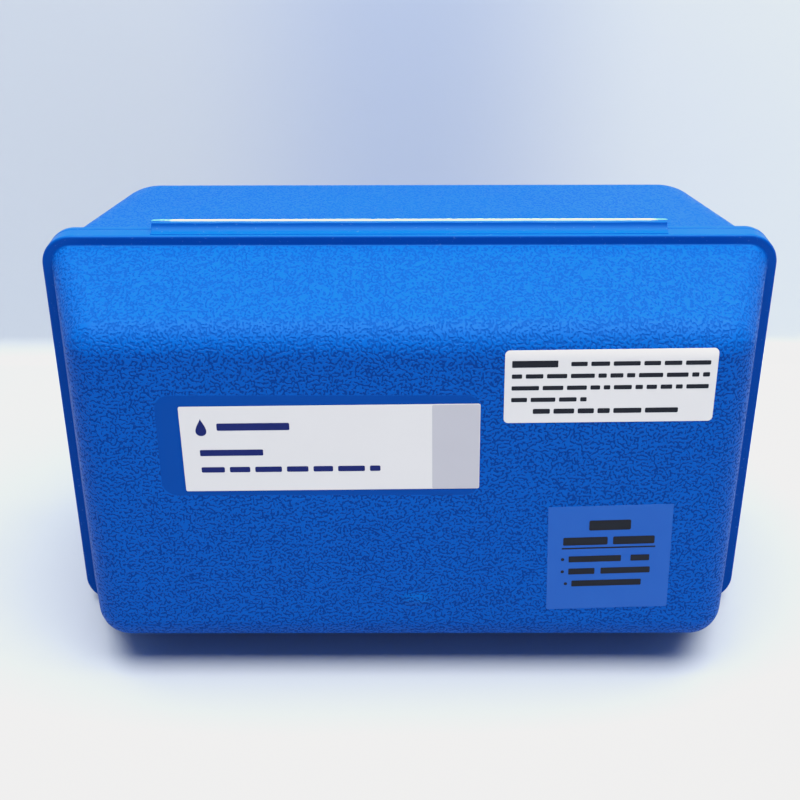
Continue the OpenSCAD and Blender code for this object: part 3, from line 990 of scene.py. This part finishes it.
def build_booklet():
    """A stapled booklet held in the lid; its cover shows waves, a drop and plain bars for a title."""
    rounded_copy("booklet_pages", "booklet_sheets", "booklet", [page_paper], 0.08, "paper_white", 2)
    rounded_copy("booklet_cover", "booklet_cover_card", "booklet", [cover_paper], 0.06,
                 "booklet_print", 2)
    low, high = span("booklet_cover")
    w = high[0] - low[0]

    def to_frame(u, v, lift):
        return put(u, high[1] + lift, MID_Z - v)

    def wave(level, height, phase):
        """A ribbon with three full waves."""
        count = 60
        top = []
        for k in range(count + 1):
            rise = height * math.sin(phase + 6.0 * math.pi * k / count)
            top.append((-w / 2 + 3 + (w - 6) * k / count, level + rise))
        return top + [(u, v - 4.5) for u, v in reversed(top)]

    waves = [wave(-12, 2.4, 0.4), wave(-25, 2.0, 2.2), wave(-37, 1.7, 3.9)]
    title = [outline_drop(-55, 27, 7.0), outline_rect(-42, 30, 27, 34, 1.0),
             outline_rect(-42, 8, 18, 21.5, 0.8)]
    for name, shapes, ink in (("booklet_waves", waves, ink_white), ("booklet_title", title, ink_water)):
        piece = slabs(name, shapes, to_frame, 0.0, 2 * PRINT_T, "booklet", [ink])


def build_comparator():
    """Clear block with two test cells, a white diffuser and two rows of colour chips."""
    for node, name, mat, width, slot in (
            ("comparator_body", "comparator_block", acrylic, 0.5, "clear_acrylic"),
            ("comparator_diffuser", "comparator_back", opal, 0.35, "opal_white"),
            ("yellow_standards", "yellow_chips", yellow_chips, 0.25, "yellow_tint"),
            ("red_standards", "red_chips", red_chips, 0.25, "red_tint"),
            ("sanitiser_cell", "sanitiser_tube", cell_clear, 0.3, "cell_clear"),
            ("ph_cell", "ph_tube", cell_clear, 0.3, "cell_clear")):
        rounded_copy(node, name, "comparator", [mat], width, slot)


def build_stopper(node, name):
    """A square plug with a ribbed round grip, dished on top."""
    low, high = span(node)
    x, z = (low[0] + high[0]) / 2, (low[2] + high[2]) / 2
    grip_r, whole_h = (high[0] - low[0]) / 2, high[1] - low[1]
    grip_h, plug_half, dish = 5.0, 7.0, 0.7
    foot = whole_h - grip_h
    profile = rounded_path([
        (0, foot), (grip_r, foot, 0.4), (grip_r, whole_h, 0.8), (grip_r - 2.0, whole_h, 0.4),
        (grip_r - 2.6, whole_h - dish, 0.4), (0, whole_h - dish)], 4)

    def ribs(a, r, h):
        on_side = r > grip_r - 0.5 and foot + 0.5 < h < whole_h - 0.7
        return 0.28 * (0.5 - 0.5 * math.cos(30 * a)) ** 2 if on_side else 0.0

    verts, faces = turned(profile, (x, high[1], z), RIBBED_TURNS, ribs)
    piece = make(name, verts, faces, node, [stopper_white])
    stands_for(node, "stopper_white")
    top = high[1] - foot - 0.3
    cut_boxes(piece, [((x - plug_half, top, z - plug_half), (x + plug_half, high[1], z + plug_half))],
              "UNION")
    weigh_normals(piece)


def bottle_profiles():
    """Sections of bottle, tip, cap, label and reagent as (radius, height)."""
    r = (span("bottle_1")[1][0] - span("bottle_1")[0][0]) / 2
    cap_top = ITEM_Y - span("bottle_cap_1")[0][1]
    bottle = rounded_path([
        (0, 0.6), (r - 3.5, 0.6, 0.8), (r - 2.8, 0, 0.4), (r, 0, 1.4), (r, 44.2, 3.6),
        (NECK_R, 49.4, 1.6), (NECK_R, NECK_TOP, 0.3), (NECK_BORE, NECK_TOP, 0.3),
        (NECK_BORE, 48.2, 1.2), (r - 1, 43.6, 3.0), (r - 1, 1.0, 1.2), (0, 1.0)], 6)
    tip = rounded_path([
        (0.5, 51), (4.55, 51, 0.5), (4.55, NECK_TOP, 0.05), (NECK_R, NECK_TOP, 0.2),
        (NECK_R, 59.2, 0.3), (3.2, 59.2, 0.5), (1.6, 64.6, 0.4), (0.5, 64.6)], 4)
    cap = rounded_path([
        (0, cap_top - 1.8), (3.5, cap_top - 1.8, 0.3), (3.5, 59.3, 0.2), (6.25, 59.3, 0.2),
        (6.25, CAP_FOOT, 0.2), (CAP_R, CAP_FOOT, 0.35), (CAP_R, 52.2, 0.3), (8.05, 52.5, 0.2),
        (7.95, cap_top, 1.2), (5.4, cap_top, 0.4), (5.0, cap_top - 0.5, 0.4), (0, cap_top - 0.5)], 4)
    label = [(r + 0.01, LABEL_FROM), (r + 0.15, LABEL_FROM), (r + 0.15, LABEL_TO), (r + 0.01, LABEL_TO)]
    fill = rounded_path([(0, 1.05), (r - 1.05, 1.05, 1.2), (r - 1.05, FILL_TOP, 0.4),
                         (r - 2.2, FILL_TOP - 0.4, 0.5), (0, FILL_TOP - 0.4)], 4)
    return bottle, tip, cap, label, fill


def cap_ribs(a, r, h):
    """Grip ribs on the straight part of a cap."""
    on_side = r > 7.6 and CAP_RIBS_FROM < h < CAP_RIBS_TO
    return 0.32 * (0.5 - 0.5 * math.cos(36 * a)) ** 2 if on_side else 0.0


def label_paper(name, band, x):
    """A bottle's paper label: white, with a coloured band at its top and short dark bars for print."""
    n = Nodes(name)
    split = n.axes()
    height = n.minus((ITEM_Y + PART_Y) * MM, split[1])
    angle = n.maths("ARCTAN2", n.minus(split[2], BOTTLE_Z * MM), n.minus(split[0], x * MM))
    lines = n.maths("DIVIDE", height, 3.0 * MM)
    row = n.maths("FLOOR", lines)
    within = n.maths("FRACT", lines)
    place = n.add("ShaderNodeCombineXYZ", {0: n.times(angle, 2.6), 1: n.times(row, 7.7)})
    words = n.ramp(n.noise(place.outputs[0], 2.0, 0.0), 0.43, 0.45)
    bars = n.times(words, n.ramp(n.size(n.minus(within, 0.5)), 0.2, 0.26, 1.0, 0.0))
    printed = n.times(n.maths("GREATER_THAN", height, 11 * MM), n.maths("LESS_THAN", height, 26 * MM))
    paper = n.mix(n.times(bars, printed), (0.84, 0.85, 0.86, 1), (0.05, 0.06, 0.08, 1))
    in_band = n.ramp(height, 29.9 * MM, 30.1 * MM)
    n.set(Base_Color=n.mix(in_band, paper, opaque(band)), Roughness=0.45,
          Normal=n.pitted(1200.0, 0.02))
    return n.material


def build_bottle(k):
    """Bottle k with its dropper tip, label, reagent and screw cap."""
    bottle_body, cap_body = "bottle_%d" % k, "cap_%d" % k
    low, high = span(bottle_body)
    foot = ((low[0] + high[0]) / 2, ITEM_Y, BOTTLE_Z)
    colour, cap_colour = CAPS[k - 1]
    bottle, tip, cap, label, fill = bottle_profiles()
    cap_plastic = plain("cap_" + colour, cap_colour, 0.32, variation=0.04)
    paper = label_paper("label_" + colour, cap_colour, foot[0])
    reagent = liquid("reagent_liquid_%d" % k, REAGENTS[k - 1])
    for name, node, solid, body, mat, slot in (
            ("bottle_body", "bottle", (bottle, foot, TURNS), bottle_body, natural, "bottle_natural"),
            ("nozzle", "dropper_tip", (tip, foot, TURNS // 2, None, True), bottle_body, tip_natural,
             "tip_natural"),
            ("ribbed_cap", "bottle_cap", (cap, foot, RIBBED_TURNS, cap_ribs), cap_body, cap_plastic,
             "cap_" + colour),
            ("paper_label", "bottle_label", (label, foot, TURNS, None, True), bottle_body, paper,
             "white_label"),
            ("liquid", "reagent", (fill, foot, TURNS), bottle_body, reagent, "reagent_%d" % k)):
        verts, faces = turned(*solid)
        piece = make("%s_%d" % (name, k), verts, faces, body, [mat])
        weigh_normals(piece)
        stands_for("%s_%d" % (node, k), slot)


rounded_copy("insert_tray", "formed_tray", "base", [tray_white], 0.35, "tray_white")
build_booklet()
build_comparator()
build_stopper("sanitiser_stopper", "sanitiser_plug")
build_stopper("ph_stopper", "ph_plug")
for number in range(1, len(CAPS) + 1):
    build_bottle(number)

# ---- stage: floor, backdrop, light, camera ----

FLOOR_GREY = (0.465, 0.51, 0.57)
FLOOR_FRONT = -1600
FLOOR_BACK = 2000
FLOOR_HALF = 2200
WALL_Y = 219                       # from the parting plane
WALL_TOP = 1800
WALL_BEND = 12                     # radius between floor and wall
# painted light and shade on the wall: lit towards the right, shaded darker and bluer behind the case
WALL_LEFT = (0.49, 0.53, 0.56, 1)
WALL_LIT_RIGHT = (0.59, 0.63, 0.66, 1)
WALL_SHADED_MIDDLE = (0.385, 0.45, 0.57, 1)
SHADE_BLUE = (0.075, 0.15, 0.40, 1)    # light from all round, which tints the shadows
BACKDROP = (0.70, 0.75, 0.82, 1)       # what the camera sees past floor and wall
LENS = 56.38
EYE = (-1.8, -407.0, 293.5)
EYE_TURN = (27.17, 0.21, -0.18)        # degrees down, to the left and rolled
FILM_CURVE = ((0.0, 0.0), (0.65, 0.65), (1.0, 0.87), (1.5, 0.955), (3.0, 1.0))


def wall_paint():
    """A pale wall with painted shade, darker and bluer behind the case, and painted light that makes it
    lighter to the right; see-through from behind.
    """
    n = Nodes("wall_paint")
    x = n.axes()[0]
    side = n.mix(n.ramp(x, -200 * MM, 230 * MM), WALL_LEFT, WALL_LIT_RIGHT)
    away = n.ramp(n.size(x), 5 * MM, 130 * MM)
    behind = n.add("ShaderNodeNewGeometry").outputs["Backfacing"]
    n.set(Base_Color=n.mix(away, WALL_SHADED_MIDDLE, side), Roughness=0.8, Specular_IOR_Level=0.2,
          Alpha=n.minus(1.0, behind), Normal=n.pitted(300.0, 0.05, 0.3))
    return n.material


def floor_paint():
    """A pale floor with a painted glow, seen only by the camera, that keeps it bright far from the
    lamp, where only other views see it.
    """
    n = Nodes("floor_paint")
    place = n.place()
    cloudy = n.noise(place, 60.0, 3.0)
    distance = n.add("ShaderNodeVectorMath", {0: place}, operation="LENGTH").outputs["Value"]
    seen = n.add("ShaderNodeLightPath").outputs["Is Camera Ray"]
    # painted glow: emission that grows away from the case, in place of lamp light
    painted_glow = n.times(n.ramp(distance, 400 * MM, 1300 * MM, 0.0, 0.8), seen)
    n.set(Base_Color=n.shades(cloudy, FLOOR_GREY, 0.98), Roughness=0.75, Normal=n.pitted(300.0, 0.05),
          Emission_Color=(0.92, 0.95, 1.0, 1), Emission_Strength=painted_glow)
    return n.material


def build_stage():
    """A pale floor that meets a pale wall behind the case, and goes on behind it."""
    wall_y = (WALL_Y + PART_Y) * MM
    bend = WALL_BEND * MM
    profile = [(FLOOR_FRONT * MM, 0.0), (wall_y - bend, 0.0)]
    for k in range(1, 9):
        a = math.pi / 2 * k / 8
        profile.append((wall_y - bend + bend * math.sin(a), bend - bend * math.cos(a)))
    profile.append((wall_y, WALL_TOP * MM))
    n = len(profile)
    sides = (-FLOOR_HALF * MM, FLOOR_HALF * MM)
    verts = [(x, y, z) for x in sides for y, z in profile] + [(x, FLOOR_BACK * MM, 0.0) for x in sides]
    faces = [(i, n + i, n + i + 1, i + 1) for i in range(n - 1)] + [(1, n + 1, 2 * n + 1, 2 * n)]
    mesh = bpy.data.meshes.new("floor")
    mesh.from_pydata(verts, [], faces)
    for p in mesh.polygons:
        on_wall = p.index not in (0, n - 1)
        p.material_index = int(on_wall)
        p.use_smooth = on_wall
    floor = linked("floor", mesh)
    mesh.materials.append(floor_paint())
    mesh.materials.append(wall_paint())


def area_light(name, place, aim, size, power, colour=(1, 1, 1)):
    """A soft rectangular light at a place, turned towards a point; millimetres and watts."""
    light = bpy.data.lights.new(name, "AREA")
    light.shape = "RECTANGLE"
    light.size, light.size_y = size[0] * MM, size[1] * MM
    light.energy = power
    light.color = colour
    lamp = linked(name, light)
    lamp.location = Vector(place) * MM
    lamp.rotation_euler = (Vector(aim) - Vector(place)).to_track_quat("-Z", "Y").to_euler()


def build_lights():
    """Even light from above, a little from the front, and a dim bluish surrounding."""
    world = bpy.data.worlds.new("studio")
    world.use_nodes = True
    tree = world.node_tree
    seen = tree.nodes.new("ShaderNodeLightPath").outputs["Is Camera Ray"]
    tint = tree.nodes.new("ShaderNodeMix")
    tint.data_type = "RGBA"
    tint.inputs[6].default_value = SHADE_BLUE
    tint.inputs[7].default_value = BACKDROP
    tree.links.new(seen, tint.inputs[0])
    tree.links.new(tint.outputs[2], tree.nodes["Background"].inputs[0])
    bpy.context.scene.world = world
    area_light("overhead", (90, -60, 1150), (0, -60, 0), (1300, 1400), 53.5, (1.0, 0.99, 0.97))
    area_light("front", (60, -960, 330), (0, -50, 70), (600, 500), 0.45)


def build_camera():
    """The view of the photograph: from above and in front, nearly straight on."""
    camera = bpy.data.cameras.new("camera")
    camera.sensor_width = 36.0
    camera.lens = LENS
    camera.clip_start, camera.clip_end = 0.01, 20.0
    eye = linked("camera", camera)
    eye.location = put(*EYE)
    down, left, roll = (math.radians(a) for a in EYE_TURN)
    turn = Matrix.Rotation(left, 3, "Z") @ Matrix.Rotation(math.pi / 2 - down, 3, "X") \
        @ Matrix.Rotation(roll, 3, "Z")
    eye.rotation_euler = turn.to_euler()
    bpy.context.scene.camera = eye


def set_film():
    """Plain colours, with highlights rolled off as a camera does."""
    view = bpy.context.scene.view_settings
    view.view_transform = "Standard"
    view.use_curve_mapping = True
    curves = view.curve_mapping
    curves.use_clip = False
    points = curves.curves[3].points
    for i, (light, shown) in enumerate(FILM_CURVE):
        if i < len(points):
            points[i].location = (light, shown)
        else:
            points.new(light, shown)
    curves.update()


build_stage()
build_lights()
build_camera()
set_film()
